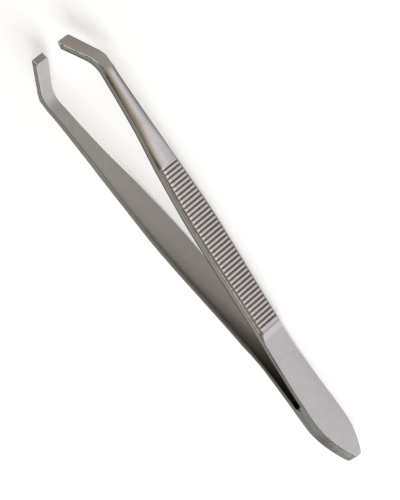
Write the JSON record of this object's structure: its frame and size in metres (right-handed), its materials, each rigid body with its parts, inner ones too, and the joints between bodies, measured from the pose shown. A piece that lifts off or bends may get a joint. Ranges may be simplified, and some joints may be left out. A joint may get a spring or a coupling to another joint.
{
  "type": "thumb forceps",
  "caption": "Satin steel thumb forceps: spring arms joined at a leaf-shaped tail, cross-grooved grips, tapering shanks and flat tips bent inward.",
  "frame": {"origin": "centre of the bounding box's base, in the plane where the arms meet", "axes": "+X along the forceps towards the tips, +Y towards the left arm, in the direction in which the arms open, +Z across the arms' width, up as it lies on its side"},
  "size_m": [0.1, 0.02, 0.0083],
  "materials": {
    "satin_steel": "satin"
  },
  "bodies": {
    "root": {"left_arm": "satin_steel", "right_arm": "satin_steel"}
  },
  "joints": []
}
